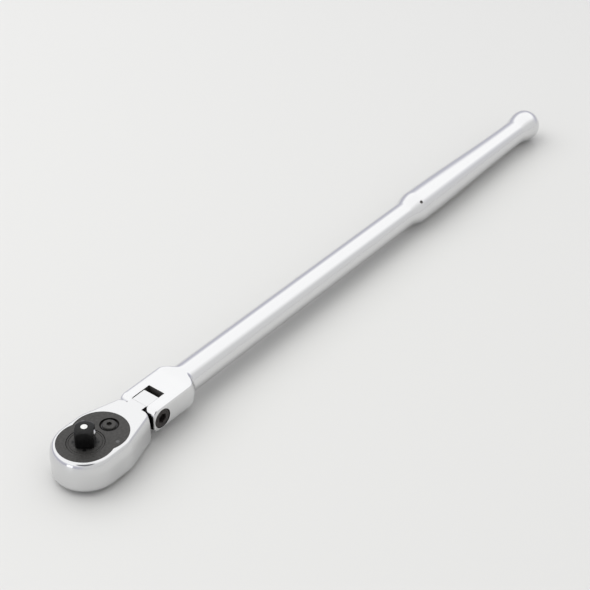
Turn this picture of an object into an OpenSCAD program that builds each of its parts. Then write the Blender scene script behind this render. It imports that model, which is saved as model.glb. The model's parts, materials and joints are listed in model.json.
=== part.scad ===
// Flex-head reversible ratchet wrench with a 3/8 inch square drive.
// The origin is where the drive axis crosses the handle's axis. +X runs along the handle
// to its butt, +Z is the way the square drive points, and the reversing lever is at -Z.

/* [Drive] */
// Width across flats of the square drive
drive_af = 9.5; // [9.4:0.05:9.5]
// Length of the square above the cover plate
drive_length = 10; // [9:0.5:11]
// Turn of the square about its axis, in degrees
drive_turn = -51; // [-90:1:90]
// Number of teeth on the drive gear
gear_teeth = 72; // [72]

/* [Head] */
// Radius of the rounded head where it is widest
head_r = 18.2; // [18:0.1:18.5]
// Thickness of the head
head_t = 18.2; // [18:0.1:18.6]
// Radius of each lobe of the cover plate
lobe_r = 14.9; // [14.7:0.1:15]
// Distance between the centres of the plate's two lobes
lobe_pitch = 10.2; // [9.8:0.1:10.4]
// Distance from the drive axis to the head's flat shoulder
shoulder_x = 34.7; // [34.4:0.1:34.8]

/* [Flex joint] */
// Distance from the drive axis to the pivot
pivot_x = 42.5; // [42.4:0.1:42.8]
// Thickness of the yoke
yoke_t = 14; // [13.8:0.1:14]
// Width of the yoke
yoke_w = 24; // [23.5:0.5:25]
// Width of the slot between the yoke's ears
slot_w = 10.6; // [10.5:0.1:10.8]

/* [Handle] */
// Distance from the drive axis to the butt's end
butt_x = 410; // [390:1:440]
// Radius of the shaft behind the yoke
shaft_r = 8.4; // [8:0.1:8.6]
// Radius of the shaft in front of the grip
shaft_back_r = 7.8; // [7.4:0.1:8.2]
// Radius of the grip at its thick front end
grip_r = 10; // [9.4:0.1:10.4]
// Radius of the butt's bulb
bulb_r = 9.7; // [9:0.1:11]

/* [Hidden] */
$fn = 96;

eps = 0.01;
run = 0.05; // radial clearance of a running fit
wall_cut = 1; // how far a cutting tool runs past the face it opens

// Heights, from the back of the head to the tip of the drive
head_top = 6.6;
head_bottom = head_top - head_t;
plate_t = 1.8;
plate_bottom = head_top - plate_t;
gear_bottom = -4.5;
gear_top = 4.4;
cavity_floor = -5;
spigot_bottom = -6.5;
drive_top = head_top + drive_length;

// Head outline
crown_t = 7; // height over which the head's wall draws in to its upper face
crown_inset = 2.7;
crown_steps = 4;
keel_t = 3.6; // height over which it draws in to its back
keel_inset = 3;
keel_steps = 3;
shoulder_half = 12.2;
shoulder_edge = 2.5; // rounding of the shoulder's corners, seen from above
tongue_half = 4.95;
knuckle_r = 8.3;
knuckle_step = 0.35; // how far the knuckle lies under the head's face
knuckle_front_x = pivot_x - 4.2;
pivot_z = head_top - yoke_t / 2;

// Gear train
gear_tip_r = 11.3;
gear_root_r = 10.6;
cavity_r = 11.7;
hub_r = 9.75;
spigot_r = 8;
selector_x = 16.7;
stem_r = 3;
pocket_x = 13.5;
pocket_r = 10.9;
pin_y = 12;
pin_r = 1;
pin_depth = 3.8; // how far a pin reaches into the housing
pawl_half_t = 3.9;
pawl_back_r = 14.2;
pawl_boss_r = 5.4;
pawl_tail = [6, 4.4];
pawl_wing = 44; // half of the angle that the pawl spans, about the gear's axis
pawl_relief = 26; // half of the untoothed angle between its wings
pawl_relief_r = 11.65;
pawl_rock = 5; // from the middle to each mesh
pawl_gap = 0.2; // between the pawl and the pocket's floor
mesh_gap = 0.25;
tooth_pitch = 360 / gear_teeth;

// Selector lever on the back of the head
lever_turn = 22.5; // from the middle to each stop
lever_hub_r = 6;
lever_seat_r = 6.3;
lever_seat_z = head_bottom + 1.7;
lever_z = head_bottom - 1.5;
lever_tab_x = 9.5;
lever_tab_r = 2.4;
lever_tab_t = 1.2;
end_gap = 0.1; // at the end of the lever's hub and of the gear's spigot
neck_r = 2.1; // the stem's end, which passes through the cover plate
neck_top = 5.65;
stem_gap = 0.15; // between the stem and the cover plate
screw_seat_r = 5;
screw_seat_z = 5.6;
screw_r = 1.2;
screw_bottom = 2.2;
screw_head_r = 3.7;
screw_head_t = 1.2;
screw_hex = 2.5;
washer_r = 4;
washer_t = 0.3;
o_ring_r = 0.5;
o_ring_z = -6.6;
click_ball_r = 1;
click_reach = 3.72; // from the selector's axis to the ball's tip

// Detent ball in the square
detent_z = drive_top - 3.7;
detent_ball_r = 1.6;
detent_proud = 0.8;
detent_depth = 7.4;

// Flex pivot
pivot_r = 3;
pivot_thread_r = 2.9;
pivot_head_r = 5.35;
pivot_head_t = 3.1;
pivot_chamfer = 0.4;
pivot_hex = 5;
pivot_hex_depth = 2.2;
flex_washer_r = 6.2;
pivot_seat_r = 5.5;
pivot_seat_y = -yoke_w / 2 + 3.4;
ear_front = 6; // distance of the ears' flat front from the pivot
ear_r = 7.6;
slot_end_x = pivot_x + 9;
yoke_back_x = pivot_x + 21;
flare_x = pivot_x + 30;
flare_r = norm([yoke_w, yoke_t]) / 2 + 0.2;
plunger_r = 1.5;
plunger_tip = knuckle_r + 0.1; // distance of the plunger's tip from the pivot
plunger_back = 14;
plunger_hole_end = 20;

// Handle's turned outline, counted back from the butt
grip_front_x = butt_x - 131;
grip_step = 12;
grip_back_x = butt_x - 23;
grip_back_r = 7.8;
bulb_front_x = butt_x - 10;
bulb_back_x = butt_x - 9;
bulb_end_r = 9;
dimple_r = 1;
dimple_x = grip_front_x - 2.5;
dimple_turn = 40; // from straight up towards -Y
curve_steps = 12;
arc_step = 5; // degrees between the points of the head's outline

function ease(t) = t * t * (3 - 2 * t);

// Points of a smooth S from [x0, r0] to [x1, r1]
function s_curve(x0, r0, x1, r1) =
    [for (i = [0:curve_steps]) let (t = i / curve_steps) [x0 + (x1 - x0) * t, r0 + (r1 - r0) * ease(t)]];

// Points of an arc about a centre
function arc(centre, r, from, to, steps) =
    [for (i = [0:steps]) let (a = from + (to - from) * i / steps) centre + r * [cos(a), sin(a)]];

// A solid turned about the X axis from points given as [x, radius]
module turned_x(points) {
    rotate([0, 90, 0])
        rotate_extrude()
            polygon([for (p = points) [p[1], p[0]]]);
}

// A cylinder along +Y from y0 to y1
module bar_y(r, y0, y1) {
    translate([0, y0, 0])
        rotate([-90, 0, 0])
            cylinder(r = r, h = y1 - y0);
}

// A cylinder along +X from x0 to x1
module bar_x(r, x0, x1) {
    translate([x0, 0, 0])
        rotate([0, 90, 0])
            cylinder(r = r, h = x1 - x0);
}

module hex(af, h) {
    cylinder(r = af / sqrt(3), h = h, $fn = 6);
}

// Places children at the selector's axis, turned to its rest at one stop
module at_selector() {
    translate([selector_x, 0, 0])
        rotate([0, 0, -lever_turn])
            children();
}

module at_pivot() {
    translate([pivot_x, 0, pivot_z])
        children();
}

// A coil spring along +Z, from z = 0 to z = length, as a swept six-sided wire
module coil(coil_r, wire_r, length, turns) {
    per_turn = 14;
    sides = 6;
    rings = turns * per_turn;
    rise = length - 2 * wire_r;
    function ring(i) =
        let (a = 360 * i / per_turn)
        [for (s = [0:sides - 1]) let (b = 360 * s / sides, r = coil_r + wire_r * cos(b))
            [r * cos(a), r * sin(a), wire_r + rise * i / rings + wire_r * sin(b)]];
    points = [for (i = [0:rings]) for (p = ring(i)) p];
    skin = [for (i = [0:rings - 1]) for (s = [0:sides - 1])
        [i * sides + s, (i + 1) * sides + s, (i + 1) * sides + (s + 1) % sides, i * sides + (s + 1) % sides]];
    first = [[for (s = [0:sides - 1]) s]];
    last = [[for (s = [sides - 1:-1:0]) rings * sides + s]];
    polyhedron(concat(points), concat(skin, first, last));
}

// ---- Handle ----

// Yoke: a turned flare, milled flat all round, with ears that are square in front but for
// their upper and lower corners, which are turned about the pivot to pass the shoulder
module yoke() {
    intersection() {
        turned_x(concat(
            [[pivot_x - yoke_t, 0], [pivot_x - yoke_t, flare_r]],
            s_curve(yoke_back_x, flare_r, flare_x, shaft_r),
            [[flare_x, 0]]
        ));
        translate([pivot_x - ear_front, -yoke_w / 2, pivot_z - yoke_t / 2])
            cube([flare_x - pivot_x + ear_front, yoke_w, yoke_t]);
        union() {
            at_pivot()
                bar_y(ear_r, -yoke_w, yoke_w);
            translate([pivot_x, -yoke_w, pivot_z - yoke_t])
                cube([flare_x - pivot_x + wall_cut, 2 * yoke_w, 2 * yoke_t]);
        }
    }
}

// Shaft, grip and butt, turned in one piece
module handle_bar() {
    root_r = head_top - 0.2; // inside the yoke
    turned_x(concat(
        [[yoke_back_x, 0], [yoke_back_x, root_r]],
        s_curve(yoke_back_x + 1, root_r, flare_x, shaft_r),
        s_curve(grip_front_x - grip_step, shaft_back_r, grip_front_x, grip_r),
        s_curve(grip_front_x + 1, grip_r, grip_back_x, grip_back_r),
        s_curve(grip_back_x + 1, grip_back_r, bulb_front_x, bulb_r),
        arc([bulb_back_x, bulb_r - bulb_end_r], bulb_end_r, 90, 10, curve_steps),
        [[butt_x, 0]]
    ));
}

module handle() {
    color("gainsboro")
    difference() {
        union() {
            yoke();
            handle_bar();
        }
        // slot for the tongue
        translate([pivot_x - yoke_t, -slot_w / 2, pivot_z - yoke_t])
            cube([slot_end_x - pivot_x + yoke_t, slot_w, 2 * yoke_t]);
        at_pivot() {
            bar_y(pivot_seat_r, -yoke_w / 2 - wall_cut, pivot_seat_y);
            bar_y(pivot_r + run, pivot_seat_y - wall_cut, 0);
            bar_y(pivot_thread_r + run, 0, yoke_w / 2 + wall_cut);
            bar_x(plunger_r + run, slot_end_x - pivot_x - wall_cut, plunger_hole_end);
        }
        // dimple on the grip's front shoulder
        translate([dimple_x, 0, 0])
            rotate([dimple_turn, 0, 0])
                translate([0, 0, grip_r + 0.2])
                    sphere(r = dimple_r);
    }
}

module flex_pivot_screw() {
    head_y = pivot_seat_y - pivot_head_t;
    color([0.08, 0.08, 0.09])
    at_pivot()
    difference() {
        union() {
            bar_y(pivot_head_r - pivot_chamfer, head_y, pivot_seat_y);
            bar_y(pivot_head_r, head_y + pivot_chamfer, pivot_seat_y);
            bar_y(pivot_r, pivot_seat_y, slot_w / 2);
            bar_y(pivot_thread_r, slot_w / 2, yoke_w / 2 - 0.6);
        }
        translate([0, head_y - eps, 0])
            rotate([-90, 30, 0])
                hex(pivot_hex, pivot_hex_depth);
    }
}

module flex_washer(y0, y1) {
    color("silver")
    at_pivot()
    difference() {
        bar_y(flex_washer_r, y0, y1);
        bar_y(pivot_r + 0.15, y0 - wall_cut, y1 + wall_cut);
    }
}

module flex_washer_left() {
    flex_washer(tongue_half + run, slot_w / 2);
}

module flex_washer_right() {
    flex_washer(-slot_w / 2, -tongue_half - run);
}

module flex_plunger() {
    color("dimgray")
    at_pivot()
    rotate([0, 90, 0])
    rotate_extrude()
        polygon(concat(
            [[0, plunger_back], [0, plunger_tip]],
            arc([plunger_r - 0.5, plunger_tip + 0.5], 0.5, -90, 0, 4),
            [[plunger_r, plunger_back]]
        ));
}

module flex_plunger_spring() {
    color("silver")
    translate([pivot_x + plunger_back, 0, pivot_z])
        rotate([0, 90, 0])
            coil(1, 0.25, plunger_hole_end - plunger_back, 5);
}

// ---- Head ----

// Pear outline of the head, drawn in by a distance
module pear(inset) {
    r = head_r - inset;
    half = shoulder_half - inset;
    e = shoulder_edge;
    corner = [shoulder_x - e, half - e];
    reach = corner - [lobe_pitch, 0];
    side = atan2(reach[1], reach[0]) + acos((r - e) / norm(reach)); // which way the straight side faces
    polygon(concat(
        arc(corner, e, 0, side, 4),
        arc([lobe_pitch, 0], r, side, 90, 3),
        arc([0, 0], r, 90, 270, 180 / arc_step),
        arc([lobe_pitch, 0], r, 270, 360 - side, 3),
        arc([corner[0], -corner[1]], e, -side, 0, 4)
    ));
}

// The head's wall drawn in to one of its faces along a quarter of an ellipse, in slices
module drawn_in(face_z, depth, inset, steps, up) {
    for (i = [0:steps - 1]) {
        low = depth * sin(90 * i / steps);
        high = depth * sin(90 * (i + 1) / steps);
        translate([0, 0, face_z - up * depth + (up > 0 ? low - eps : -high)])
            linear_extrude(high - low + eps)
                pear(inset * (1 - cos(90 * (i + 0.5) / steps)));
    }
}

module head_blank() {
    translate([0, 0, head_bottom + keel_t])
        linear_extrude(head_t - keel_t - crown_t)
            pear(0);
    drawn_in(head_top, crown_t, crown_inset, crown_steps, 1);
    drawn_in(head_bottom, keel_t, keel_inset, keel_steps, -1);
}

// Tongue: a knuckle round the pivot, milled flat above and below
module tongue() {
    low = pivot_z - yoke_t / 2 + knuckle_step;
    intersection() {
        union() {
            at_pivot()
                bar_y(knuckle_r, -tongue_half, tongue_half);
            translate([shoulder_x - 2, -tongue_half, low])
                cube([pivot_x - shoulder_x, 2 * tongue_half, yoke_t - 2 * knuckle_step]);
        }
        translate([shoulder_x - 2, -tongue_half, low])
            cube([pivot_x, 2 * tongue_half, yoke_t - 2 * knuckle_step]);
    }
    // the head's face runs on over the tongue as far as the knuckle
    translate([shoulder_x - 2, -tongue_half, low])
        cube([knuckle_front_x - shoulder_x + 2, 2 * tongue_half, head_top - eps - low]);
}

module gourd(inset) {
    for (x = [0, lobe_pitch])
        translate([x, 0])
            circle(r = lobe_r - inset);
}

module head_housing() {
    color("gainsboro")
    difference() {
        union() {
            head_blank();
            tongue();
        }
        // recess for the cover plate
        translate([0, 0, plate_bottom])
            linear_extrude(plate_t + wall_cut)
                gourd(-run);
        // gear and pawl cavities
        translate([0, 0, cavity_floor])
            cylinder(r = cavity_r, h = plate_bottom - cavity_floor + wall_cut);
        translate([pocket_x, 0, -pawl_half_t - pawl_gap])
            cylinder(r = pocket_r, h = plate_bottom + pawl_half_t + wall_cut);
        translate([0, 0, spigot_bottom - end_gap])
            cylinder(r = spigot_r + run, h = cavity_floor - spigot_bottom + wall_cut);
        // selector: stem hole, seal groove and seat of the lever
        translate([selector_x, 0, head_bottom - wall_cut])
            cylinder(r = stem_r + run, h = head_t);
        translate([selector_x, 0, o_ring_z - o_ring_r - run])
            cylinder(r = stem_r + 2 * o_ring_r + 2 * run, h = 2 * (o_ring_r + run));
        translate([selector_x, 0, head_bottom - wall_cut])
            cylinder(r = lever_seat_r, h = lever_seat_z - head_bottom + wall_cut);
        for (side = [-1, 1])
            translate([lobe_pitch, side * pin_y, plate_bottom - pin_depth])
                cylinder(r = pin_r, h = pin_depth + wall_cut);
        at_pivot()
            bar_y(pivot_r + run, -tongue_half - wall_cut, tongue_half + wall_cut);
    }
}

module cover_plate() {
    color([0.3, 0.3, 0.31])
    difference() {
        translate([0, 0, plate_bottom])
            linear_extrude(plate_t)
                gourd(0);
        translate([0, 0, plate_bottom - wall_cut])
            cylinder(r = hub_r + run, h = plate_t + 2 * wall_cut);
        translate([selector_x, 0, screw_seat_z])
            cylinder(r = screw_seat_r, h = plate_t);
        translate([selector_x, 0, plate_bottom - wall_cut])
            cylinder(r = neck_r + run, h = plate_t);
        for (side = [-1, 1])
            translate([lobe_pitch, side * pin_y, plate_bottom - wall_cut])
                cylinder(r = pin_r, h = plate_t + 2 * wall_cut);
    }
}

module cover_pins() {
    color("gray")
    for (side = [-1, 1])
        translate([lobe_pitch, side * pin_y, plate_bottom - pin_depth + run])
            cylinder(r = pin_r - 2 * eps, h = pin_depth + plate_t - 2 * run);
}

// Wave spring: a flat ring that rises and falls three times round the gear's spigot
module gear_wave_spring() {
    steps = 72;
    middle = (cavity_floor + gear_bottom) / 2 - 0.03;
    half_t = 0.11;
    swing = 0.08;
    section = [[8.7, -half_t], [10.3, -half_t], [10.3, half_t], [8.7, half_t]];
    points = [for (i = [0:steps - 1]) let (a = 360 * i / steps) for (p = section)
        [p[0] * cos(a), p[0] * sin(a), middle + swing * sin(3 * a) + p[1]]];
    faces = [for (i = [0:steps - 1]) let (here = 4 * i, next = 4 * ((i + 1) % steps)) for (k = [0:3])
        let (m = (k + 1) % 4)
        [here + k, here + m, next + m, next + k]];
    color("silver")
    polyhedron(points, faces);
}

module selector_o_ring() {
    color([0.1, 0.1, 0.1])
    translate([selector_x, 0, o_ring_z])
        rotate_extrude()
            translate([stem_r + run / 2 + o_ring_r, 0])
                circle(r = o_ring_r - eps, $fn = 32);
}

// ---- Drive ----

// Ring of teeth, drawn out by a gap. A tooth space faces +X, so both of the pawl's wings
// find the same mesh.
module gear_outline(gap) {
    polygon([for (i = [0:gear_teeth - 1]) for (k = [0, 1])
        let (a = (i + k / 2) * tooth_pitch, r = (k == 0 ? gear_root_r : gear_tip_r) + gap)
        r * [cos(a), sin(a)]]);
}

module at_square() {
    translate([0, 0, head_top])
        rotate([0, 0, drive_turn])
            children();
}

module drive_gear() {
    color([0.13, 0.13, 0.14])
    difference() {
        union() {
            translate([0, 0, gear_bottom])
                linear_extrude(gear_top - gear_bottom)
                    gear_outline(0);
            translate([0, 0, gear_top])
                cylinder(r = hub_r, h = head_top - gear_top);
            translate([0, 0, spigot_bottom])
                cylinder(r = spigot_r, h = gear_bottom - spigot_bottom);
            // the square, with its corners turned and its end rounded off
            intersection() {
                at_square()
                    translate([-drive_af / 2, -drive_af / 2, -wall_cut])
                        cube([drive_af, drive_af, drive_length + wall_cut]);
                rotate_extrude()
                    polygon([
                        [0, plate_bottom], [6.1, plate_bottom], [6.1, drive_top - 1.9],
                        [5.5, drive_top - 0.9], [4.4, drive_top - 0.25], [2.6, drive_top], [0, drive_top]
                    ]);
            }
        }
        at_square()
            translate([0, 0, detent_z - head_top])
                bar_x(detent_ball_r + run, drive_af / 2 - detent_depth, drive_af);
    }
}

module detent_spring() {
    color("silver")
    at_square()
        translate([drive_af / 2 - detent_depth + 0.05, 0, detent_z - head_top])
            rotate([0, 90, 0])
                coil(1.1, 0.22, detent_depth - 2 * detent_ball_r + detent_proud - 0.1, 4);
}

module detent_ball() {
    color("white")
    at_square()
        translate([drive_af / 2 + detent_proud - detent_ball_r, 0, detent_z - head_top])
            sphere(r = detent_ball_r);
}

// ---- Selector and pawl ----

// Outline of two circles on the X axis and their common tangents
module teardrop(r0, x1, r1) {
    side = acos((r0 - r1) / x1);
    polygon(concat(arc([0, 0], r0, side, 360 - side, 40), arc([x1, 0], r1, -side, side, 16)));
}

module selector_lever() {
    hub_top = lever_seat_z - end_gap;
    color("gainsboro")
    at_selector()
    difference() {
        union() {
            translate([0, 0, lever_z])
                cylinder(r = lever_hub_r, h = hub_top - lever_z);
            // tab
            translate([0, 0, lever_z])
                linear_extrude(lever_tab_t)
                    teardrop(lever_hub_r - 0.4, lever_tab_x, lever_tab_r);
            translate([0, 0, hub_top - eps])
                cylinder(r = stem_r, h = plate_bottom - stem_gap - hub_top);
            translate([0, 0, plate_bottom - 1])
                cylinder(r = neck_r, h = neck_top - plate_bottom + 1);
        }
        // threaded hole for the screw, and the cross hole for the click ball
        translate([0, 0, screw_bottom - 0.4])
            cylinder(r = screw_r + run, h = neck_top);
        bar_x(click_ball_r + run, -1.8, stem_r + wall_cut);
    }
}

module selector_screw_washer() {
    color("gray")
    at_selector()
    difference() {
        translate([0, 0, neck_top])
            cylinder(r = washer_r, h = washer_t);
        translate([0, 0, neck_top - wall_cut])
            cylinder(r = screw_r + stem_gap, h = washer_t + 2 * wall_cut);
    }
}

module selector_screw() {
    head_z = neck_top + washer_t;
    rim_r = 0.8; // rounding of the button head
    color([0.2, 0.2, 0.21])
    at_selector()
    difference() {
        union() {
            translate([0, 0, screw_bottom])
                cylinder(r = screw_r, h = head_z - screw_bottom + eps);
            translate([0, 0, head_z])
                rotate_extrude()
                    polygon(concat(
                        [[0, 0], [screw_head_r, 0]],
                        arc([screw_head_r - rim_r, 0.3], rim_r, 0, 70, 5),
                        [[0, screw_head_t]]
                    ));
        }
        translate([0, 0, head_z + 0.35])
            hex(screw_hex, screw_head_t);
    }
}

module pawl_click_spring() {
    color("silver")
    at_selector()
        translate([-1.7, 0, 0])
            rotate([0, 90, 0])
                coil(0.7, 0.18, click_reach - 2 * click_ball_r + 1.6, 5);
}

module pawl_click_ball() {
    color("white")
    at_selector()
        translate([click_reach - click_ball_r, 0, 0])
            sphere(r = click_ball_r);
}

// Turns children about the selector's axis
module rocked(angle) {
    translate([selector_x, 0])
        rotate(angle)
            translate([-selector_x, 0])
                children();
}

module sector(r, half_angle) {
    polygon([[0, 0], r * [cos(half_angle), -sin(half_angle)], r * [cos(half_angle), sin(half_angle)]]);
}

// Rocker pawl in its middle position: the gear, as it stands to each wing in mesh, is cut
// out of the wings, and a plain relief lies between them
module pawl_outline() {
    difference() {
        intersection() {
            union() {
                circle(r = pawl_back_r);
                translate([selector_x, 0])
                    circle(r = pawl_boss_r);
                translate([selector_x, -pawl_tail[1] / 2])
                    square(pawl_tail);
            }
            sector(4 * pawl_back_r, pawl_wing);
        }
        for (angle = [-pawl_rock, pawl_rock])
            rocked(angle)
                gear_outline(mesh_gap);
        intersection() {
            circle(r = pawl_relief_r);
            sector(2 * pawl_relief_r, pawl_relief);
        }
    }
}

module pawl() {
    color("dimgray")
    rocked(-pawl_rock)
    translate([0, 0, -pawl_half_t])
    difference() {
        linear_extrude(2 * pawl_half_t)
            pawl_outline();
        translate([selector_x, 0, -wall_cut])
            cylinder(r = stem_r + run, h = 2 * pawl_half_t + 2 * wall_cut);
        // room for the click ball
        translate([selector_x, 0, pawl_half_t - click_ball_r - 0.15])
            cylinder(r = click_reach + 0.1, h = 2 * click_ball_r + 0.3);
    }
}

handle();
flex_pivot_screw();
flex_washer_left();
flex_washer_right();
flex_plunger();
flex_plunger_spring();
head_housing();
cover_plate();
cover_pins();
gear_wave_spring();
selector_o_ring();
drive_gear();
detent_spring();
detent_ball();
selector_lever();
selector_screw();
selector_screw_washer();
pawl_click_spring();
pawl_click_ball();
pawl();
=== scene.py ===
"""Looks of a long flex-head ratchet wrench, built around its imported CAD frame.

Meshes are drawn in millimetres in the frame's own axes and scaled to metres when they
are finished: +X runs along the handle to its butt, +Z is the way the square drive points.
"""
import json
import math

import bmesh
import bpy
import numpy as np
from mathutils import Euler, Matrix, Vector


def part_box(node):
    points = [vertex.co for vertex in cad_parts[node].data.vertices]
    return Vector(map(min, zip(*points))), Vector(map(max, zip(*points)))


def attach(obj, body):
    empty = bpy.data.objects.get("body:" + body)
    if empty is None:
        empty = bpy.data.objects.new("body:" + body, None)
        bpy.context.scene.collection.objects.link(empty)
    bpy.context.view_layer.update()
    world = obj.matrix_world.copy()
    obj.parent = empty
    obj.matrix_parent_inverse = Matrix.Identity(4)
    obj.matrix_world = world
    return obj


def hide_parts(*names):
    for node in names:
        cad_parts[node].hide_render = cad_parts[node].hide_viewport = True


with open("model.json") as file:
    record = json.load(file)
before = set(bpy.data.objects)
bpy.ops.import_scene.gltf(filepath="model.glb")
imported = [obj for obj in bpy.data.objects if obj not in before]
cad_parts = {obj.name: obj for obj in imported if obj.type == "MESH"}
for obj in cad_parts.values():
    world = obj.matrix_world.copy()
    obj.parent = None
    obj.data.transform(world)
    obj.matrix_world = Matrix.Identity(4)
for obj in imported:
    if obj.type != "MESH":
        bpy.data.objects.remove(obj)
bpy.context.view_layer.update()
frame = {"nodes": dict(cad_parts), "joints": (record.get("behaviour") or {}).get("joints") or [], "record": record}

MM = 0.001
JOINTS = {joint["name"]: joint for joint in frame["joints"]}

# ---- Places, from the frame, in millimetres ----


def box_mm(node):
    """Lowest and highest corners of a CAD node, in millimetres."""
    low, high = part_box(node)
    return np.array(low) / MM, np.array(high) / MM


HEAD_LOW, HEAD_HIGH = box_mm("head_housing")
PLATE_LOW, PLATE_HIGH = box_mm("cover_plate")
HANDLE_LOW, HANDLE_HIGH = box_mm("handle")
DRIVE_LOW, DRIVE_HIGH = box_mm("drive_gear")
LEVER_LOW, LEVER_HIGH = box_mm("selector_lever")
PIVOT_X, _, PIVOT_Z = np.array(JOINTS["flex_hinge"]["pos_m"]) / MM
SELECTOR_X = JOINTS["selector_turn"]["pos_m"][0] / MM
DETENT_IN = np.array(JOINTS["detent_ball_slide"]["axis"])
DRIVE_TURN = math.atan2(-DETENT_IN[1], -DETENT_IN[0])
CLICK_IN = np.array(JOINTS["click_ball_slide"]["axis"])
LEVER_TURN = math.atan2(-CLICK_IN[1], -CLICK_IN[0])

HEAD_TOP = HEAD_HIGH[2]
HEAD_BOTTOM = HEAD_LOW[2]
HEAD_R = HEAD_HIGH[1]
LOBE_R = PLATE_HIGH[1]
LOBE_X = PLATE_HIGH[0] - LOBE_R
KNUCKLE_R = HEAD_HIGH[0] - PIVOT_X
YOKE_HALF_W = HANDLE_HIGH[1]
YOKE_HALF_T = HEAD_TOP - PIVOT_Z
EAR_FRONT_X = HANDLE_LOW[0]
BUTT_X = HANDLE_HIGH[0]
GRIP_R = HANDLE_HIGH[2]
DRIVE_TOP = DRIVE_HIGH[2]
DRIVE_BOTTOM = DRIVE_LOW[2]
PLATE_BOTTOM = PLATE_LOW[2]
LEVER_BOTTOM = LEVER_LOW[2]
LEVER_TOP = LEVER_HIGH[2]

# ---- Shapes that the boxes don't give, in millimetres ----

# RUN is the play of a fit, and PAST how far a cutter goes beyond what it cuts
RUN = 0.05
PAST = 1
SHOULDER_X = 34.7
SHOULDER_HALF = 12.2
SHOULDER_EDGE = 2.5
CROWN_T, CROWN_INSET = 7, 2.7
KEEL_T, KEEL_INSET = 3.6, 3
TONGUE_HALF = 4.95
KNUCKLE_STEP = 0.35
KNUCKLE_FRONT_X = PIVOT_X - 4.2
KNUCKLE_EDGE = 0.3
GROOVE_DEPTH, GROOVE_WIDTH = 0.25, 0.35
CAVITY_R, CAVITY_FLOOR = 11.7, -5
PAWL_ROOM_R, PAWL_ROOM_X, PAWL_ROOM_FLOOR = 10.9, 13.5, -4.1
SPIGOT_FLOOR = -6.6
EAR_R = 7.6
EAR_EDGE = 1.0
SLOT_HALF = 5.3
SLOT_END_X = PIVOT_X + 9
FLARE_START_X = PIVOT_X + 21
FLARE_END_X = PIVOT_X + 30
FLARE_R = math.hypot(YOKE_HALF_W, YOKE_HALF_T) + 0.2
SHAFT_R = 8.4
SHAFT_BACK_R = 7.8
GRIP_FRONT_X = BUTT_X - 131
GRIP_STEP = 12
GRIP_BACK_X = BUTT_X - 23
GRIP_BACK_R = 7.8
DIMPLE_X = GRIP_FRONT_X - 2.5
DIMPLE_TURN = 40
BULB_FRONT_X = BUTT_X - 10
BULB_BACK_X = BUTT_X - 9
BULB_END_R = 9
BULB_R = 9.7
PIVOT_R = 3
PIVOT_THREAD_R = 2.9
PIVOT_SEAT_R = 5.5
PIVOT_SEAT_Y = -YOKE_HALF_W + 3.4
PIVOT_HEAD_R = 5.35
PIVOT_HEAD_T = 3.1
PIVOT_HEX = 5
PIVOT_END_Y = YOKE_HALF_W - 0.6
PLUNGER_R = 1.5
PLUNGER_HOLE_END = PIVOT_X + 20
TOOTH_TIP_R, TOOTH_ROOT_R = 11.3, 10.6
TEETH = 72
GEAR_BOTTOM, GEAR_TOP = -4.5, 4.4
HUB_R = 9.75
HUB_BOTTOM = -3
HUB_GROOVE_R = (8.15, 8.3, 8.55, 8.7)
HUB_FLAT_R = 6.9
SQUARE_FOOT_R = 6.2
SPIGOT_R = 8
DRIVE_HALF = 4.75
DRIVE_CORNER_R = 6.1
DRIVE_END_R = 2.6
DRIVE_CENTRE_R = 1.7
DRIVE_DOME = 1.9
DETENT_R = 1.6
DETENT_Z = DRIVE_TOP - 3.7
DETENT_DEPTH = 7.4
PIN_Y = 12
PIN_R = 1
PIN_DEPTH = 3.8
PINS = [(LOBE_X, -PIN_Y), (LOBE_X, PIN_Y)]
PLATE_EDGE = 0.3
SELECTOR = (SELECTOR_X, 0)
SCREW_SEAT_R = 5
SCREW_SEAT_Z = 5.6
SCREW_HEAD_Z = 5.95
SCREW_HEAD_R = 3.7
SCREW_HEAD_T = 1.2
SCREW_R = 1.2
SCREW_BOTTOM = 2.2
SCREW_HEX = 2.5
STEM_R = 3
NECK_R = 2.1
NECK_BOTTOM = 4.65
LEVER_HUB_R = 6
LEVER_HUB_TOP = HEAD_BOTTOM + 1.6
LEVER_SEAT_R = 6.3
LEVER_TAB_X, LEVER_TAB_R, LEVER_TAB_T = 9.5, 2.4, 1.2
LEVER_RIDGES_X = (7.6, 8.8, 10.0)
O_RING_Z, O_RING_HALF = -6.6, 0.55
CLICK_BALL_R = 1
CLICK_HOLE_END = -1.8


# ---- Mesh helpers ----


def ease(t):
    return t * t * (3 - 2 * t)


def arc(centre, r, start, end, steps):
    """Points of an arc in degrees, as an array of pairs."""
    a = np.radians(np.linspace(start, end, steps + 1))
    return np.stack([centre[0] + r * np.cos(a), centre[1] + r * np.sin(a)], axis=1)


def mesh_object(name, verts, faces):
    mesh = bpy.data.meshes.new(name)
    mesh.from_pydata([tuple(map(float, v)) for v in verts], [], faces)
    mesh.validate()
    bm = bmesh.new()
    bm.from_mesh(mesh)
    bmesh.ops.remove_doubles(bm, verts=bm.verts, dist=1e-5)
    bmesh.ops.recalc_face_normals(bm, faces=bm.faces)
    bm.to_mesh(mesh)
    bm.free()
    obj = bpy.data.objects.new(name, mesh)
    bpy.context.scene.collection.objects.link(obj)
    return obj


def loft(name, rings, ends=True):
    """A closed skin through rings of equal length. ends closes the first and the last ring."""
    n = len(rings[0])
    verts = np.concatenate(rings)
    faces = []
    for k in range(len(rings) - 1):
        for i in range(n):
            j = (i + 1) % n
            faces.append((k * n + i, k * n + j, (k + 1) * n + j, (k + 1) * n + i))
    if ends:
        faces.append(tuple(range(n))[::-1])
        faces.append(tuple((len(rings) - 1) * n + i for i in range(n)))
    return mesh_object(name, verts, faces)


def stand(outline, z):
    """A flat outline of pairs, at height z."""
    return np.column_stack([outline, np.full(len(outline), z)])


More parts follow.
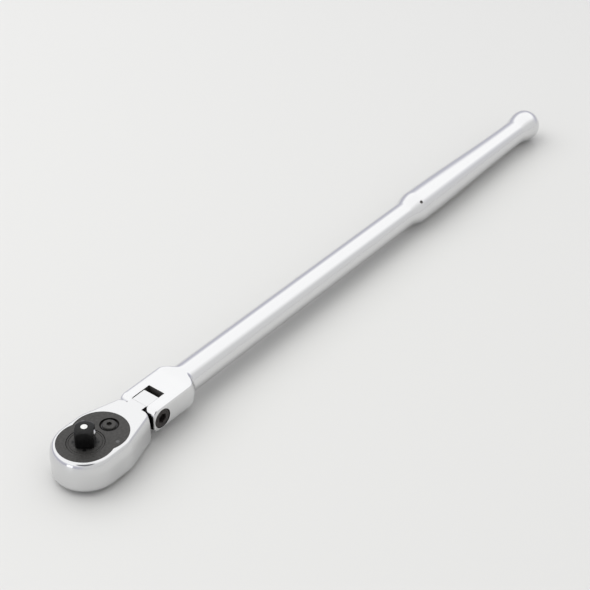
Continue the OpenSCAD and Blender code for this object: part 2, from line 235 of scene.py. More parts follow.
def circle(r, n=96, centre=(0, 0)):
    return arc(centre, r, 0, 360 * (n - 1) / n, n - 1)


def turned(name, profile, n=96):
    """A solid turned about Z from [radius, z] points that start and end on the axis."""
    return loft(name, [stand(circle(r, n), z) for r, z in profile], False)


def prism(name, outline, z0, z1, edge=0.0, steps=3):
    """An outline given as a function of its inset, between two heights, with rounded edges."""
    if edge == 0:
        return loft(name, [stand(outline(0), z0), stand(outline(0), z1)])
    rings = []
    for a in np.linspace(0, 90, steps + 1):
        s = edge * (1 - math.sin(math.radians(a)))
        rings.append(stand(outline(s), z0 + edge * (1 - math.cos(math.radians(a)))))
    for a in np.linspace(90, 0, steps + 1):
        s = edge * (1 - math.sin(math.radians(a)))
        rings.append(stand(outline(s), z1 - edge * (1 - math.cos(math.radians(a)))))
    return loft(name, rings)


def place(obj, turn=(0, 0, 0), at=(0, 0, 0)):
    """Turns a mesh, in degrees, and then moves it."""
    rotation = Euler([math.radians(a) for a in turn]).to_matrix().to_4x4()
    obj.data.transform(Matrix.Translation(at) @ rotation)
    obj.data.update()
    return obj


def rod_y(r, y0, y1, n=64):
    """A cylinder along Y through the pivot."""
    rod = prism("cutter", lambda s: circle(r - s, n), 0, y1 - y0)
    return place(rod, (-90, 0, 0), (PIVOT_X, y0, PIVOT_Z))


def rod_x(r, x0, x1, z=0.0, turn=0.0):
    """A level cylinder that points at the Z axis, turned about it by an angle in degrees."""
    rod = prism("cutter", lambda s: circle(r - s, 48), x0, x1)
    return place(place(rod, (0, 90, 0)), (0, 0, turn), (0, 0, z))


def hole(r, z0, z1, centre=(0, 0), n=96):
    """A cutter for an upright round hole."""
    return prism("cutter", lambda s: circle(r, n, centre), z0, z1)


def hexagon(across):
    return circle(across / math.sqrt(3), 6)


def block(low, high):
    low, high = np.array(low, float), np.array(high, float)
    base = [(low[0], low[1]), (high[0], low[1]), (high[0], high[1]), (low[0], high[1])]
    return loft("cutter", [stand(np.array(base), low[2]), stand(np.array(base), high[2])])


def applied(obj):
    """Applies the modifiers on an object to its mesh."""
    bpy.context.view_layer.update()
    graph = bpy.context.evaluated_depsgraph_get()
    mesh = bpy.data.meshes.new_from_object(obj.evaluated_get(graph))
    obj.modifiers.clear()
    obj.data = mesh
    return obj


def joined(obj, other, operation):
    """A boolean of two meshes: other is used up."""
    modifier = obj.modifiers.new("boolean", "BOOLEAN")
    modifier.object = other
    modifier.operation = operation
    modifier.solver = "EXACT"
    applied(obj)
    bpy.data.objects.remove(other)
    return obj


def cut(obj, *cutters):
    for cutter in cutters:
        joined(obj, cutter, "DIFFERENCE")
    return obj


def bevelled(obj, width, angle):
    """Rounds the edges that are sharper than an angle in degrees."""
    modifier = obj.modifiers.new("bevel", "BEVEL")
    modifier.width = width
    modifier.segments = 2
    modifier.limit_method = "ANGLE"
    modifier.angle_limit = math.radians(angle)
    modifier.miter_outer = "MITER_ARC"
    return applied(obj)


def welded(obj, distance=0.002):
    """Merges corners that booleans and bevels leave closer than a distance."""
    bm = bmesh.new()
    bm.from_mesh(obj.data)
    bmesh.ops.remove_doubles(bm, verts=bm.verts, dist=distance)
    bmesh.ops.dissolve_degenerate(bm, dist=distance, edges=bm.edges)
    bmesh.ops.triangulate(bm, faces=[face for face in bm.faces if len(face.verts) > 4])
    bmesh.ops.dissolve_degenerate(bm, dist=distance, edges=bm.edges)
    bm.to_mesh(obj.data)
    bm.free()
    return obj


def repaint(obj, material, chosen):
    """Gives another material to the faces whose centre, in millimetres, is chosen."""
    obj.data.materials.append(material)
    index = len(obj.data.materials) - 1
    for face in obj.data.polygons:
        if chosen(face.center):
            face.material_index = index


def finished(obj, body, replaced, material, others=()):
    """Welds a mesh, scales it to metres, shades it, and ties it to the frame.

    others are pairs of a material and a test of a face's centre."""
    welded(obj)
    obj.data.materials.clear()
    obj.data.materials.append(material)
    for face in obj.data.polygons:
        face.material_index = 0
    for other, chosen in others:
        repaint(obj, other, chosen)
    obj.data.transform(Matrix.Scale(MM, 4))
    obj.data.shade_smooth()
    obj.data.set_sharp_from_angle(angle=math.radians(35))
    weighted = obj.modifiers.new("normals", "WEIGHTED_NORMAL")
    weighted.keep_sharp = True
    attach(obj, body)
    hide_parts(*replaced)
    return obj


# ---- Materials ----


def nodes_of(name):
    material = bpy.data.materials.new(name)
    material.use_nodes = True
    tree = material.node_tree
    return material, tree, tree.nodes["Principled BSDF"]


def noise(tree, scale, detail=4, stretch=(1, 1, 1)):
    """Noise in the object's own coordinates. scale is in cycles per metre."""
    coords = tree.nodes.new("ShaderNodeTexCoord")
    mapping = tree.nodes.new("ShaderNodeMapping")
    mapping.inputs["Scale"].default_value = stretch
    texture = tree.nodes.new("ShaderNodeTexNoise")
    texture.inputs["Scale"].default_value = scale
    texture.inputs["Detail"].default_value = detail
    tree.links.new(coords.outputs["Object"], mapping.inputs["Vector"])
    tree.links.new(mapping.outputs["Vector"], texture.inputs["Vector"])
    return texture.outputs["Fac"]


def ramp(tree, source, stops):
    """A colour ramp. stops are pairs of a position and a grey or a colour."""
    node = tree.nodes.new("ShaderNodeValToRGB")
    elements = node.color_ramp.elements
    while len(elements) < len(stops):
        elements.new(0.5)
    for element, (position, colour) in zip(elements, stops):
        element.position = position
        if not hasattr(colour, "__len__"):
            colour = (colour, colour, colour)
        element.color = (*colour, 1)
    tree.links.new(source, node.inputs["Fac"])
    return node.outputs["Color"]


def bump(tree, shader, source, distance, strength=1.0):
    node = tree.nodes.new("ShaderNodeBump")
    node.inputs["Distance"].default_value = distance
    node.inputs["Strength"].default_value = strength
    tree.links.new(source, node.inputs["Height"])
    tree.links.new(node.outputs["Normal"], shader.inputs["Normal"])


def chrome(name, colour=(0.72, 0.722, 0.728), low=0.07, high=0.15, stretch=(1, 1, 1)):
    """Polished chrome plate: hazy in patches, with the faint ripple of a polished forging."""
    material, tree, shader = nodes_of(name)
    shader.inputs["Metallic"].default_value = 1
    shader.inputs["Base Color"].default_value = (*colour, 1)
    haze = ramp(tree, noise(tree, 140, 6, stretch), [(0.35, low), (0.7, high)])
    tree.links.new(haze, shader.inputs["Roughness"])
    bump(tree, shader, noise(tree, 90, 2, stretch), 0.00001, 0.5)
    return material


def blackened(name, dark, light, low, high, grain=900, depth=0.000012):
    """Black oxide on steel: slightly mottled, with a fine blasted grain."""
    material, tree, shader = nodes_of(name)
    shader.inputs["Metallic"].default_value = 0.55
    tone = ramp(tree, noise(tree, grain, 5), [(0.3, dark), (0.72, light)])
    tree.links.new(tone, shader.inputs["Base Color"])
    gloss = ramp(tree, noise(tree, 420, 6), [(0.3, low), (0.7, high)])
    tree.links.new(gloss, shader.inputs["Roughness"])
    bump(tree, shader, noise(tree, grain * 4, 3), depth, 0.5)
    return material


def steel(name, colour, low, high, stretch=(1, 1, 1)):
    """Plain ground or drawn steel with fine scratches along its work."""
    material, tree, shader = nodes_of(name)
    shader.inputs["Metallic"].default_value = 1
    dark = tuple(0.8 * c for c in colour)
    tone = ramp(tree, noise(tree, 800, 6, stretch), [(0.3, dark), (0.7, colour)])
    tree.links.new(tone, shader.inputs["Base Color"])
    gloss = ramp(tree, noise(tree, 1500, 4, stretch), [(0.3, low), (0.7, high)])
    tree.links.new(gloss, shader.inputs["Roughness"])
    bump(tree, shader, noise(tree, 3000, 3, stretch), 0.000004, 0.4)
    return material


def rubber(name):
    material, tree, shader = nodes_of(name)
    tone = ramp(tree, noise(tree, 900, 4), [(0.3, 0.02), (0.7, 0.045)])
    tree.links.new(tone, shader.inputs["Base Color"])
    gloss = ramp(tree, noise(tree, 700, 4), [(0.3, 0.55), (0.7, 0.75)])
    tree.links.new(gloss, shader.inputs["Roughness"])
    bump(tree, shader, noise(tree, 4000, 2), 0.00001, 0.5)
    return material


MATERIALS = {
    "chrome_handle": chrome("chrome_handle", stretch=(0.3, 1, 1)),
    # The head's chrome is painted a little darker than the handle's, as painted shade for the shadowed floor that
    # its wall reflects.
    "chrome_head": chrome("chrome_head", (0.685, 0.687, 0.692)),
    "chrome_lever": chrome("chrome_lever", (0.68, 0.682, 0.688), 0.12, 0.22),
    "black_plate": blackened(
        "black_plate", (0.042, 0.041, 0.039), (0.07, 0.068, 0.065), 0.42, 0.54
    ),
    "black_drive": blackened(
        "black_drive", (0.005, 0.005, 0.005), (0.011, 0.011, 0.011), 0.26, 0.4
    ),
    "black_oxide_screw": blackened(
        "black_oxide_screw", (0.022, 0.019, 0.018), (0.05, 0.044, 0.042), 0.34, 0.46
    ),
    "dark_steel": steel("dark_steel", (0.13, 0.13, 0.135), 0.35, 0.5),
    "spring_steel": steel("spring_steel", (0.55, 0.55, 0.56), 0.2, 0.35),
    "bearing_steel": steel("bearing_steel", (0.78, 0.78, 0.79), 0.06, 0.12),
    "steel_pin": steel("steel_pin", (0.17, 0.17, 0.17), 0.4, 0.55),
    "seal_rubber": rubber("seal_rubber"),
}
# Unplated steel for recesses, painted darker still as painted shade: it darkens the slot walls and the grip's
# dimple, where shade falls.
RECESS_PAINTED_SHADE = steel("unplated_recess_painted_shade", (0.24, 0.23, 0.22), 0.45, 0.6)
# Near-black painted shade for deep shaded places: the head's shoulder beside the tongue, the plate's screw seat
# and drive bore, and the screw's hex socket.
PAINTED_SHADE_BLACK = steel("painted_shade_black", (0.03, 0.028, 0.027), 0.5, 0.65)
# A pale steel disc on the drive's end: a painted highlight, so that the end shows a bright spot.
DRIVE_END_PAINTED_HIGHLIGHT = steel("drive_end_painted_highlight", (0.86, 0.86, 0.85), 0.16, 0.26)


# ---- Handle ----

AROUND = 160
SOFTNESS = 18


def section(x, half_w, high, low, r, roundness=0.0):
    """A cross-section of the handle: a box with softened corners inside a circle.

    roundness draws it out to the shaft's circle."""
    a = 2 * np.pi * np.arange(AROUND) / AROUND
    y, z = np.abs(np.cos(a)), np.sin(a)
    walls = [y / half_w, np.where(z > 0, z / high, -z / low), np.full(AROUND, 1 / r)]
    rho = sum(w**SOFTNESS for w in walls) ** (-1 / SOFTNESS)
    rho = rho + (SHAFT_R - rho) * roundness
    return np.column_stack([np.full(AROUND, x), rho * np.cos(a), rho * z])


def ring(x, r):
    a = 2 * np.pi * np.arange(AROUND) / AROUND
    return np.column_stack([np.full(AROUND, x), r * np.cos(a), r * np.sin(a)])


def handle_rings():
    """Cross-sections of the handle from the ears' front to the butt."""
    rings = []
    # ears: flat in front, turned about the pivot above and below
    turned_end = PIVOT_X - math.sqrt(EAR_R**2 - YOKE_HALF_T**2)
    edge = [EAR_FRONT_X + EAR_EDGE * (1 - math.cos(math.radians(a))) for a in range(0, 91, 10)]
    for x in np.concatenate([edge, np.linspace(edge[-1], turned_end, 14)[1:]]):
        half_t = min(YOKE_HALF_T, math.sqrt(EAR_R**2 - (PIVOT_X - x) ** 2))
        back = max(0.0, EAR_EDGE - (x - EAR_FRONT_X))
        half_w = YOKE_HALF_W - EAR_EDGE + math.sqrt(EAR_EDGE**2 - back**2)
        rings.append(section(x, half_w, PIVOT_Z + half_t, PIVOT_Z - half_t, FLARE_R))
    # flat yoke, then the flare into the round shaft
    high, low = HEAD_TOP, PIVOT_Z - YOKE_HALF_T
    for x in np.linspace(turned_end, FLARE_START_X, 24)[1:]:
        rings.append(section(x, YOKE_HALF_W, high, low, FLARE_R))
    for t in np.linspace(0, 1, 41)[1:]:
        x = FLARE_START_X + (FLARE_END_X - FLARE_START_X) * t
        rise = ease(t)
        r = FLARE_R + (SHAFT_R - FLARE_R) * rise
        top = high + (SHAFT_R - high) * rise
        bottom = low + (-SHAFT_R - low) * rise
        rings.append(section(x, YOKE_HALF_W, top, bottom, r, ease(max(0.0, 2 * t - 1))))
    step_x = GRIP_FRONT_X - GRIP_STEP
    for x in np.linspace(FLARE_END_X, step_x, 31)[1:]:
        t = (x - FLARE_END_X) / (step_x - FLARE_END_X)
        rings.append(ring(x, SHAFT_R + (SHAFT_BACK_R - SHAFT_R) * t))
    spans = [
        (step_x, SHAFT_BACK_R, GRIP_FRONT_X, GRIP_R, 24),
        (GRIP_FRONT_X + 1, GRIP_R, GRIP_BACK_X, GRIP_BACK_R, 40),
        (GRIP_BACK_X + 1, GRIP_BACK_R, BULB_FRONT_X, BULB_R, 24),
    ]
    for x0, r0, x1, r1, steps in spans:
        for t in np.linspace(0, 1, steps + 1)[1:]:
            rings.append(ring(x0 + (x1 - x0) * t, r0 + (r1 - r0) * ease(t)))
    # the butt's rounded end closes on a nearly flat face
    for a in np.linspace(90, 0, 21):
        x = BULB_BACK_X + (BUTT_X - BULB_BACK_X) * math.cos(math.radians(a))
        rings.append(ring(x, BULB_R - BULB_END_R + BULB_END_R * math.sin(math.radians(a))))
    return rings


def make_handle():
    body = loft("handle_forging", handle_rings())
    reach = 2 * EAR_R
    slot = block(
        (PIVOT_X - reach, -SLOT_HALF, PIVOT_Z - reach),
        (SLOT_END_X, SLOT_HALF, PIVOT_Z + reach),
    )
    seat = rod_y(PIVOT_SEAT_R, -YOKE_HALF_W - 1, PIVOT_SEAT_Y, 96)
    bore = rod_y(PIVOT_R + RUN, PIVOT_SEAT_Y - 1, 0)
    thread = rod_y(PIVOT_THREAD_R + RUN, -1, YOKE_HALF_W + 1)
    plunger = rod_x(PLUNGER_R + RUN, SLOT_END_X - 1, PLUNGER_HOLE_END, PIVOT_Z)
    cut(body, slot, seat, bore, thread, plunger)
    bevelled(body, 0.3, 45)
    dimple = turned("cutter", [(0, -0.9), (0.8, -0.7), (1.0, 0.2), (1.0, 2), (0, 2)], 32)
    place(dimple, (0, 0, 0), (0, 0, GRIP_R - 0.5))
    place(dimple, (DIMPLE_TURN, 0, 0), (DIMPLE_X, 0, 0))
    cut(body, dimple)

    # The slot's walls and the dimple take the recess steel: unplated steel, painted darker as painted shade.
    def shaded(c):
        in_slot = c.x < SLOT_END_X + 0.1 and abs(c.y) < SLOT_HALF + 0.05
        at_dimple = abs(c.x - DIMPLE_X) < 1.2 and c.y < 0 < c.z
        in_dimple = at_dimple and math.hypot(c.y, c.z) < GRIP_R - 0.75
        return (in_slot and c.z < HEAD_TOP - 0.6) or in_dimple

    return finished(
        body, "handle", ["handle"], MATERIALS["chrome_handle"],
        others=[(RECESS_PAINTED_SHADE, shaded)],
    )


def make_pivot_screw():
    """Socket screw of the flex joint: turned along Y, its head in the seat of the near ear."""
    head, r = PIVOT_SEAT_Y - PIVOT_HEAD_T, PIVOT_HEAD_R
    screw = turned("pivot_screw", [
        (0, head), (r - 1.9, head), (r - 1.75, head + 0.15), (r - 1.5, head + 0.15),
        (r - 1.35, head), (r - 0.6, head), (r - 0.2, head + 0.2), (r, head + 0.6),
        (r, PIVOT_SEAT_Y), (PIVOT_R, PIVOT_SEAT_Y), (PIVOT_R, SLOT_HALF),
        (PIVOT_THREAD_R, SLOT_HALF), (PIVOT_THREAD_R, PIVOT_END_Y - 0.3),
        (PIVOT_THREAD_R - 0.3, PIVOT_END_Y), (0, PIVOT_END_Y),
    ])
    socket = prism("cutter", lambda s: hexagon(PIVOT_HEX), head - 1, head + 2.2)
    cut(screw, place(socket, (0, 0, 30)))
    bevelled(screw, 0.12, 45)
    place(screw, (-90, 0, 0), (PIVOT_X, 0, PIVOT_Z))
    slot = "black_oxide_screw"
    return finished(screw, "handle", ["flex_pivot_screw"], MATERIALS[slot])


# ---- Head ----


def pear(inset, n=48):
    """Outline of the head, drawn in by a distance."""
    r = HEAD_R - inset
    half = SHOULDER_HALF - inset
    edge = SHOULDER_EDGE
    corner = np.array([SHOULDER_X - edge, half - edge])
    reach = corner - (LOBE_X, 0)
    past_reach = math.acos((r - edge) / np.linalg.norm(reach))
    side = math.degrees(math.atan2(reach[1], reach[0]) + past_reach)
    front = arc(corner, edge, 0, side, 10)
    back = front[::-1] * (1, -1)
    return np.concatenate([
        front,
        arc((LOBE_X, 0), r, side, 90, 4),
        arc((0, 0), r, 90, 270, n),
        arc((LOBE_X, 0), r, 270, 360 - side, 4),
        back,
    ])


def gourd(inset, n=56):
    """Two overlapping lobes, as one outline."""
    r = LOBE_R - inset
    waist = math.degrees(math.acos(LOBE_X / 2 / r))
    rear = arc((LOBE_X, 0), r, -(180 - waist), 180 - waist, n)
    front = arc((0, 0), r, waist, 360 - waist, n)
    return np.concatenate([rear[:-1], front[:-1]])


def head_skin():
    """The head's wall, drawn in to both faces along quarters of ellipses."""
    rings = []
    for a in np.radians(np.linspace(0, 90, 10)):
        z = HEAD_BOTTOM + KEEL_T * (1 - math.cos(a))
        rings.append(stand(pear(KEEL_INSET * (1 - math.sin(a))), z))
    for a in np.radians(np.linspace(90, 0, 19)):
        z = HEAD_TOP - CROWN_T * (1 - math.cos(a))
        rings.append(stand(pear(CROWN_INSET * (1 - math.sin(a))), z))
    return loft("head_forging", rings)


def tongue():
    """The knuckle round the pivot, milled flat above and below, and the neck that holds it."""
    low = PIVOT_Z - YOKE_HALF_T + KNUCKLE_STEP
    high = HEAD_TOP - KNUCKLE_STEP
    knuckle = prism(
        "tongue", lambda s: circle(KNUCKLE_R - s, 128), -TONGUE_HALF, TONGUE_HALF, KNUCKLE_EDGE
    )
    place(knuckle, (-90, 0, 0), (PIVOT_X, 0, PIVOT_Z))
    reach = 2 * KNUCKLE_R
    cut(
        knuckle,
        block((PIVOT_X - reach, -reach, high), (PIVOT_X + reach, reach, high + reach)),
        block((PIVOT_X - reach, -reach, low - reach), (PIVOT_X + reach, reach, low)),
    )
    root_x = SHOULDER_X - 2
    neck = block((root_x, -TONGUE_HALF, low), (PIVOT_X, TONGUE_HALF, high))
    step = block((root_x, -TONGUE_HALF, 0), (KNUCKLE_FRONT_X, TONGUE_HALF, HEAD_TOP - 0.01))
    joined(knuckle, neck, "UNION")
    joined(knuckle, step, "UNION")
    groove = block(
        (KNUCKLE_FRONT_X - 0.05, -reach, high - GROOVE_DEPTH),
        (KNUCKLE_FRONT_X + GROOVE_WIDTH, reach, HEAD_TOP + PAST),
    )
    return cut(knuckle, groove)


def make_head():
    body = head_skin()
    joined(body, tongue(), "UNION")
    under = HEAD_BOTTOM - PAST
    o_ring_groove = (O_RING_Z - O_RING_HALF, O_RING_Z + O_RING_HALF)
    cut(
        body,
        prism("cutter", lambda s: gourd(-RUN), PLATE_BOTTOM, HEAD_TOP + PAST),
        hole(CAVITY_R, CAVITY_FLOOR, PLATE_BOTTOM + PAST, n=128),
        hole(PAWL_ROOM_R, PAWL_ROOM_FLOOR, PLATE_BOTTOM + PAST, (PAWL_ROOM_X, 0), 128),
        hole(SPIGOT_R + RUN, SPIGOT_FLOOR, CAVITY_FLOOR + PAST),
        hole(STEM_R + RUN, under, 0, SELECTOR, 48),
        hole(STEM_R + 1.1, *o_ring_groove, SELECTOR, 64),
        hole(LEVER_SEAT_R, under, HEAD_BOTTOM + 1.7, SELECTOR),
        rod_y(PIVOT_R + RUN, -TONGUE_HALF - PAST, TONGUE_HALF + PAST),
    )
    for pin in PINS:
        cut(body, hole(PIN_R, PLATE_BOTTOM - PIN_DEPTH, HEAD_TOP, pin, 32))
    bevelled(body, 0.22, 45)

    # Painted shade: the shoulder's cheeks and the tongue's sides, in the gap before the ears, are painted
    # near-black.
    def shaded(c):
        beside = abs(c.y) > TONGUE_HALF - 0.02 and c.z < HEAD_TOP - 0.5
        shoulder = SHOULDER_X - 0.05 < c.x < SHOULDER_X + 0.1 and beside
        return shoulder or (c.x > SHOULDER_X and abs(abs(c.y) - TONGUE_HALF) < 0.02)

    return finished(
        body, "head", ["head_housing"], MATERIALS["chrome_head"],
        others=[(PAINTED_SHADE_BLACK, shaded)],
    )


def make_plate():
    plate = prism("gourd_plate", gourd, PLATE_BOTTOM, HEAD_TOP, PLATE_EDGE)
    under, above = PLATE_BOTTOM - PAST, HEAD_TOP + PAST
    cut(
        plate,
        hole(HUB_R + RUN, under, above, n=128),
        hole(SCREW_SEAT_R, SCREW_SEAT_Z, above, SELECTOR),
        hole(NECK_R + RUN, under, HEAD_TOP, SELECTOR, 48),
    )
    for pin in PINS:
        cut(plate, hole(PIN_R, under, above, pin, 32))
    bevelled(plate, 0.2, 45)

    # Painted shade: the screw seat's walls and floor and the drive bore's wall are painted near-black.
    def shaded(c):
        at_screw = math.hypot(c.x - SELECTOR_X, c.y) < SCREW_SEAT_R + 0.1
        at_drive = math.hypot(c.x, c.y) < HUB_R + 0.1
        return c.z < HEAD_TOP - 0.02 and (at_screw or at_drive)

    return finished(
        plate, "head", ["cover_plate"], MATERIALS["black_plate"],
        others=[(PAINTED_SHADE_BLACK, shaded)],
    )


# ---- Drive ----


def gear_teeth():
    """Ratchet ring: straight-sided teeth, all round."""
    points = []
    for i in range(TEETH):
        for k, r in ((0, TOOTH_ROOT_R), (0.5, TOOTH_TIP_R)):
            a = 2 * math.pi * (i + k) / TEETH
            points.append((r * math.cos(a), r * math.sin(a)))
    outline = np.array(points)
    return loft("teeth", [stand(outline, GEAR_BOTTOM), stand(outline, GEAR_TOP)])


def square_drive():
    """The square, its corners turned and its end domed to a small flat."""
    n = 192
    a = 2 * np.pi * np.arange(n) / n
    flat = DRIVE_HALF / np.maximum(np.abs(np.cos(a)), np.abs(np.sin(a)))
    levels = [(DRIVE_CORNER_R, 5.5), (DRIVE_CORNER_R, DRIVE_TOP - DRIVE_DOME)]
    for e in np.radians(np.linspace(0, 90, 13))[1:]:
        r = DRIVE_END_R + (DRIVE_CORNER_R - DRIVE_END_R) * math.cos(e)
        levels.append((r, DRIVE_TOP - DRIVE_DOME * (1 - math.sin(e))))
    levels.append((DRIVE_CENTRE_R, DRIVE_TOP))
    rings = []
    for r, z in levels:
        rho = (flat**-60 + float(r) ** -60) ** (-1 / 60)
        rings.append(stand(np.column_stack([rho * np.cos(a), rho * np.sin(a)]), z))
    return place(loft("square", rings), (0, 0, math.degrees(DRIVE_TURN)))


def make_drive():
    top = HEAD_TOP
    g0, g1, g2, g3 = HUB_GROOVE_R
    body = turned("square_drive_gear", [
        (0, DRIVE_BOTTOM), (SPIGOT_R - 0.3, DRIVE_BOTTOM), (SPIGOT_R, DRIVE_BOTTOM + 0.3),
        (SPIGOT_R, HUB_BOTTOM), (HUB_R, HUB_BOTTOM), (HUB_R, top - 0.4), (HUB_R - 0.4, top),
        (g3, top), (g2, top - 0.25), (g1, top - 0.25), (g0, top), (HUB_FLAT_R, top), (0, top),
    ], 160)
    joined(body, gear_teeth(), "UNION")
    joined(body, square_drive(), "UNION")
    turn = math.degrees(DRIVE_TURN)
    cut(body, rod_x(DETENT_R + RUN, DRIVE_HALF - DETENT_DEPTH, 2 * DRIVE_HALF, DETENT_Z, turn))
    bevelled(body, 0.2, 50)

    # Painted highlight: a pale disc at the centre of the drive's end stands in for its bright spot.
    def ground(c):
        return c.z > DRIVE_TOP - 0.02 and math.hypot(c.x, c.y) < DRIVE_CENTRE_R

    def hub(c):
        return top - 0.35 < c.z < top + 0.05 and math.hypot(c.x, c.y) > SQUARE_FOOT_R

    return finished(
        body, "drive", ["drive_gear"], MATERIALS["black_drive"],
        others=[(DRIVE_END_PAINTED_HIGHLIGHT, ground), (MATERIALS["black_plate"], hub)],
    )


# ---- Selector ----


def teardrop(inset):
    """Outline of the lever: its hub, the tab's tip, and their common tangents."""
    hub, tip = LEVER_HUB_R - 0.4, LEVER_TAB_R
    side = math.degrees(math.acos((hub - tip) / LEVER_TAB_X))
    return np.concatenate([
        arc((0, 0), hub - inset, side, 360 - side, 48),
        arc((LEVER_TAB_X, 0), tip - inset, -side, side, 20),
    ])


def make_lever():
    r, z = LEVER_HUB_R, LEVER_BOTTOM
    lever = turned("reversing_lever", [
        (0, z), (r - 0.5, z), (r - 0.15, z + 0.15), (r, z + 0.5), (r, LEVER_HUB_TOP),
        (STEM_R, LEVER_HUB_TOP), (STEM_R, NECK_BOTTOM), (NECK_R, NECK_BOTTOM),
        (NECK_R, LEVER_TOP), (0, LEVER_TOP),
    ])
    joined(lever, prism("tab", teardrop, z + 0.01, z + LEVER_TAB_T, 0.35, 4), "UNION")
    for x in LEVER_RIDGES_X:
        cut(lever, block((x, -5, z - PAST), (x + 0.45, 5, z + 0.35)))
    screw_hole = hole(SCREW_R + RUN, SCREW_BOTTOM - 0.4, LEVER_TOP + PAST, n=48)
    ball_hole = rod_x(CLICK_BALL_R + RUN, CLICK_HOLE_END, STEM_R + PAST)
    cut(lever, screw_hole, ball_hole)
    bevelled(lever, 0.12, 50)
    place(lever, (0, 0, math.degrees(LEVER_TURN)), (SELECTOR_X, 0, 0))
    slot = "chrome_lever"
    return finished(lever, "selector", ["selector_lever"], MATERIALS[slot])


def make_selector_screw():
    """Button-head socket screw that holds the lever's stem."""
    z, r, t = SCREW_HEAD_Z, SCREW_HEAD_R, SCREW_HEAD_T
    profile = [
        (0, SCREW_BOTTOM), (SCREW_R - 0.2, SCREW_BOTTOM), (SCREW_R, SCREW_BOTTOM + 0.2),
        (SCREW_R, z), (r, z),
    ]
    for a in np.radians(np.linspace(0, 90, 8)):
        profile.append((r - 0.8 + 0.8 * math.cos(a), z + 0.3 + (t - 0.35) * math.sin(a)))
    profile.append((0, z + t - 0.05))
    screw = turned("selector_cap_screw", profile)
    cut(screw, prism("cutter", lambda s: hexagon(SCREW_HEX), z + 0.35, z + t + 1))
    bevelled(screw, 0.1, 50)
    place(screw, (0, 0, math.degrees(LEVER_TURN)), (SELECTOR_X, 0, 0))

    # Painted shade: the inside of the hex socket is painted near-black.
    def socket(c):
        return math.hypot(c.x - SELECTOR_X, c.y) < 1.5 and c.z < z + t - 0.15

    return finished(
        screw, "selector", ["selector_screw"],
        MATERIALS["black_plate"], others=[(PAINTED_SHADE_BLACK, socket)],
    )


NODE_SLOTS = {row["node"]: row["material_slot"] for row in frame["record"]["subparts"]}

make_handle()
make_pivot_screw()
make_head()
make_plate()
make_drive()
make_lever()
make_selector_screw()

for node, obj in frame["nodes"].items():
    obj.data.materials.clear()
    obj.data.materials.append(MATERIALS[NODE_SLOTS[node]])
    obj.data.shade_smooth()
    obj.data.set_sharp_from_angle(angle=math.radians(30))


# ---- Floor, light and camera ----

SKY_STRENGTH = 1.35
FAR_SIDE = [(0.0, (0.45, 0.45, 0.5)), (0.32, (0.5, 0.5, 0.56)), (0.58, 0.97), (1.0, 0.93)]
NEAR_SIDE = [(0.0, 0.57), (0.5, 0.6), (1.0, 0.78)]
# a dark panel of the studio, above the camera
PANEL = (-0.469, -0.376, 0.799)
PANEL_TONE = (0.16, 0.16, 0.17)
PANEL_EDGE = (0.91, 0.95)
SIDE_EDGE = (-0.75, -0.25)
TABLE_BACK_X = (GRIP_BACK_X + BUTT_X) / 2 + 6
CAMERA_AT = (-0.4040, -0.4553, 0.5437)
CAMERA_AZIMUTH, CAMERA_ELEVATION = -51.3, 36.7
CAMERA_LENS = 99.8


def make_floor():
    """A pale, faintly glossy table, tilted as the tool lies on its lever and its butt."""
    front_x, front_z = LEVER_HIGH[0], LEVER_LOW[2]
    back_x, back_z = TABLE_BACK_X, -BULB_R
    slope = math.atan2(back_z - front_z, back_x - front_x)
    half = 3000
    corners = [(-half, -half, 0), (half, -half, 0), (half, half, 0), (-half, half, 0)]
    mesh = bpy.data.meshes.new("floor")
    mesh.from_pydata(corners, [], [(0, 1, 2, 3)])
    floor = bpy.data.objects.new("floor", mesh)
    bpy.context.scene.collection.objects.link(floor)
    place(floor, (0, -math.degrees(slope), 0), (front_x, 0, front_z))
    floor.data.transform(Matrix.Scale(MM, 4))
    material, tree, shader = nodes_of("floor")
    shader.inputs["Base Color"].default_value = (0.62, 0.62, 0.607, 1)
    shader.inputs["Roughness"].default_value = 0.35
    shader.inputs["Specular IOR Level"].default_value = 0.35
    floor.data.materials.append(material)
    return floor


def area_light(name, at, towards, size, power, colour=(1, 1, 1)):
    data = bpy.data.lights.new(name, "AREA")
    data.shape = "RECTANGLE"
    data.size, data.size_y = size
    data.energy = power
    data.color = colour
    light = bpy.data.objects.new(name, data)
    light.location = at
    aim = Vector(towards) - Vector(at)
    light.rotation_euler = aim.to_track_quat("-Z", "Y").to_euler()
    bpy.context.scene.collection.objects.link(light)
    return light


def step_between(tree, source, start, end):
    """Rises smoothly from 0 to 1 between two values of a source."""
    node = tree.nodes.new("ShaderNodeMapRange")
    node.interpolation_type = "SMOOTHSTEP"
    node.inputs["From Min"].default_value = start
    node.inputs["From Max"].default_value = end
    tree.links.new(source, node.inputs["Value"])
    return node.outputs["Result"]


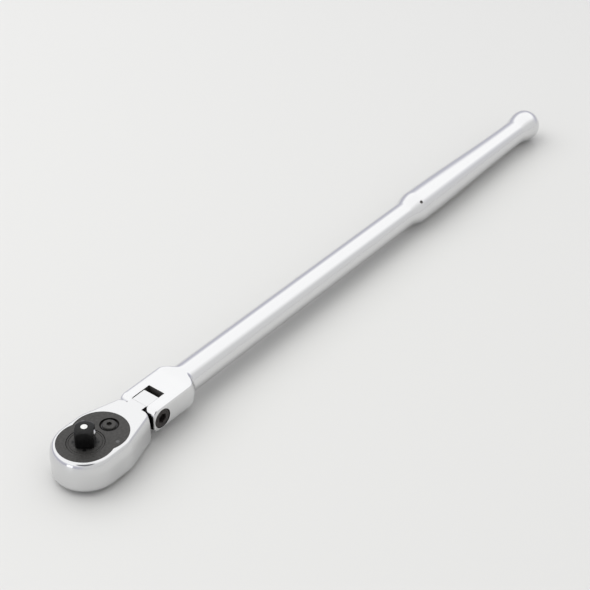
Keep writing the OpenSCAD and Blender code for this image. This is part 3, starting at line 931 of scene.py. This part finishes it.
def make_world():
    """Studio by direction: bright overhead and behind the tool, grey beside it.

    It darkens along the far horizon, and one dark panel hangs above the camera."""
    world = bpy.data.worlds.new("studio")
    bpy.context.scene.world = world
    world.use_nodes = True
    tree = world.node_tree
    coords = tree.nodes.new("ShaderNodeTexCoord")
    split = tree.nodes.new("ShaderNodeSeparateXYZ")
    tree.links.new(coords.outputs["Generated"], split.inputs["Vector"])
    far = ramp(tree, split.outputs["Z"], FAR_SIDE)
    near = ramp(tree, split.outputs["Z"], NEAR_SIDE)
    both = tree.nodes.new("ShaderNodeMix")
    both.data_type = "RGBA"
    side = step_between(tree, split.outputs["Y"], *SIDE_EDGE)
    tree.links.new(side, both.inputs["Factor"])
    tree.links.new(near, both.inputs[6])
    tree.links.new(far, both.inputs[7])
    aim = tree.nodes.new("ShaderNodeVectorMath")
    aim.operation = "DOT_PRODUCT"
    aim.inputs[1].default_value = PANEL
    tree.links.new(coords.outputs["Generated"], aim.inputs[0])
    panel = tree.nodes.new("ShaderNodeMix")
    panel.data_type = "RGBA"
    panel.inputs[7].default_value = (*PANEL_TONE, 1)
    edge = step_between(tree, aim.outputs["Value"], *PANEL_EDGE)
    tree.links.new(edge, panel.inputs["Factor"])
    tree.links.new(both.outputs[2], panel.inputs[6])
    tree.links.new(panel.outputs[2], tree.nodes["Background"].inputs["Color"])
    tree.nodes["Background"].inputs["Strength"].default_value = SKY_STRENGTH


def make_camera():
    azimuth, elevation = math.radians(CAMERA_AZIMUTH), math.radians(CAMERA_ELEVATION)
    back = Vector((
        math.sin(azimuth) * math.cos(elevation),
        -math.cos(azimuth) * math.cos(elevation),
        math.sin(elevation),
    ))
    data = bpy.data.cameras.new("camera")
    data.sensor_width = 36
    data.lens = CAMERA_LENS
    data.clip_start = 0.01
    camera = bpy.data.objects.new("camera", data)
    camera.location = CAMERA_AT
    camera.rotation_euler = back.to_track_quat("Z", "Y").to_euler()
    bpy.context.scene.collection.objects.link(camera)
    bpy.context.scene.camera = camera


make_floor()
make_world()
make_camera()
key = area_light("key", (-0.1, 0.8, 1.1), (0.1, 0, 0), (1.4, 1.4), 8.5, (1, 0.995, 0.985))
key.visible_glossy = False
fill = area_light("fill", (-0.2, -1.0, 1.0), (0.2, 0, 0), (1.2, 1.2), 1.2, (1, 0.97, 0.94))
fill.visible_glossy = False
area_light("wall_spark", (-0.93, 0.08, 0.15), (0, 0, 0), (0.3, 0.32), 0.3)
bpy.context.scene.view_settings.view_transform = "Standard"
